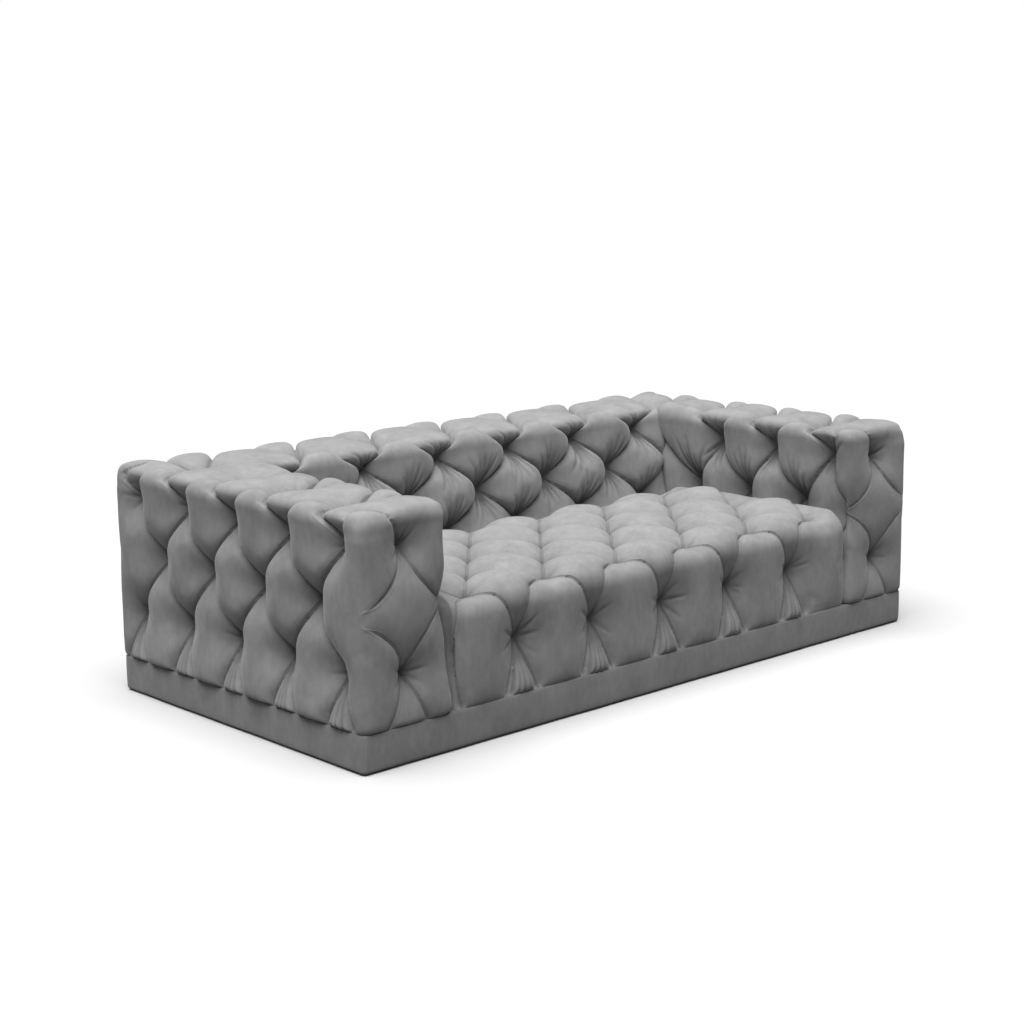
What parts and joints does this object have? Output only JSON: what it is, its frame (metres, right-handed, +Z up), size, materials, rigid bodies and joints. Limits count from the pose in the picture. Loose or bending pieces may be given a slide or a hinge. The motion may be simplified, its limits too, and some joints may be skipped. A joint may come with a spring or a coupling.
{
  "type": "three-seater sofa",
  "caption": "Box-shaped upholstered sofa with deep diamond tufting on arms, back and one bench seat, arms level with the back, on a plain covered plinth.",
  "frame": {"origin": "on the floor, at the middle of the sofa's width and depth", "axes": "+X along the width to the sitter's left, -Y to the front, +Z up"},
  "size_m": [2.3, 1.13, 0.668],
  "materials": {
    "velvet": "mid-grey velvet over foam",
    "plywood": "birch plywood",
    "softwood": "planed softwood",
    "hardboard": "brown hardboard",
    "steel": "zinc-plated steel",
    "webbing": "elastic webbing",
    "hessian": "hessian cloth",
    "dust_cloth": "black non-woven cloth",
    "nylon": "black nylon"
  },
  "bodies": {
    "root": {"back_base_board": "plywood", "back_end_boards": "plywood", "back_inner_pad": "velvet", "back_outer_pad": "velvet", "back_outer_skin": "hardboard", "back_ribs": "plywood", "back_top_board": "plywood", "back_top_pad": "velvet", "back_webbing": "webbing", "dust_cover": "dust_cloth", "frame_bolts": "steel", "frame_nuts": "steel", "glides": "nylon", "left_arm_base_board": "plywood", "left_arm_front_board": "plywood", "left_arm_front_pad": "velvet", "left_arm_inner_pad": "velvet", "left_arm_inner_skin": "hardboard", "left_arm_outer_pad": "velvet", "left_arm_outer_skin": "hardboard", "left_arm_rear_board": "plywood", "left_arm_ribs": "plywood", "left_arm_top_board": "plywood", "left_arm_top_pad": "velvet", "plinth_back_rail": "softwood", "plinth_band_back": "velvet", "plinth_band_front": "velvet", "plinth_band_left": "velvet", "plinth_band_right": "velvet", "plinth_corner_blocks": "softwood", "plinth_cross_rails": "softwood", "plinth_deck": "plywood", "plinth_front_rail": "softwood", "plinth_left_rail": "softwood", "plinth_right_rail": "softwood", "right_arm_base_board": "plywood", "right_arm_front_board": "plywood", "right_arm_front_pad": "velvet", "right_arm_inner_pad": "velvet", "right_arm_inner_skin": "hardboard", "right_arm_outer_pad": "velvet", "right_arm_outer_skin": "hardboard", "right_arm_rear_board": "plywood", "right_arm_ribs": "plywood", "right_arm_top_board": "plywood", "right_arm_top_pad": "velvet", "seat_back_rail": "softwood", "seat_brackets": "steel", "seat_front_pad": "velvet", "seat_front_rail": "softwood", "seat_left_rail": "softwood", "seat_middle_rails": "softwood", "seat_right_rail": "softwood", "seat_springs": "steel", "seat_top_pad": "velvet", "spring_clips": "steel", "spring_cover": "hessian"}
  },
  "joints": []
}
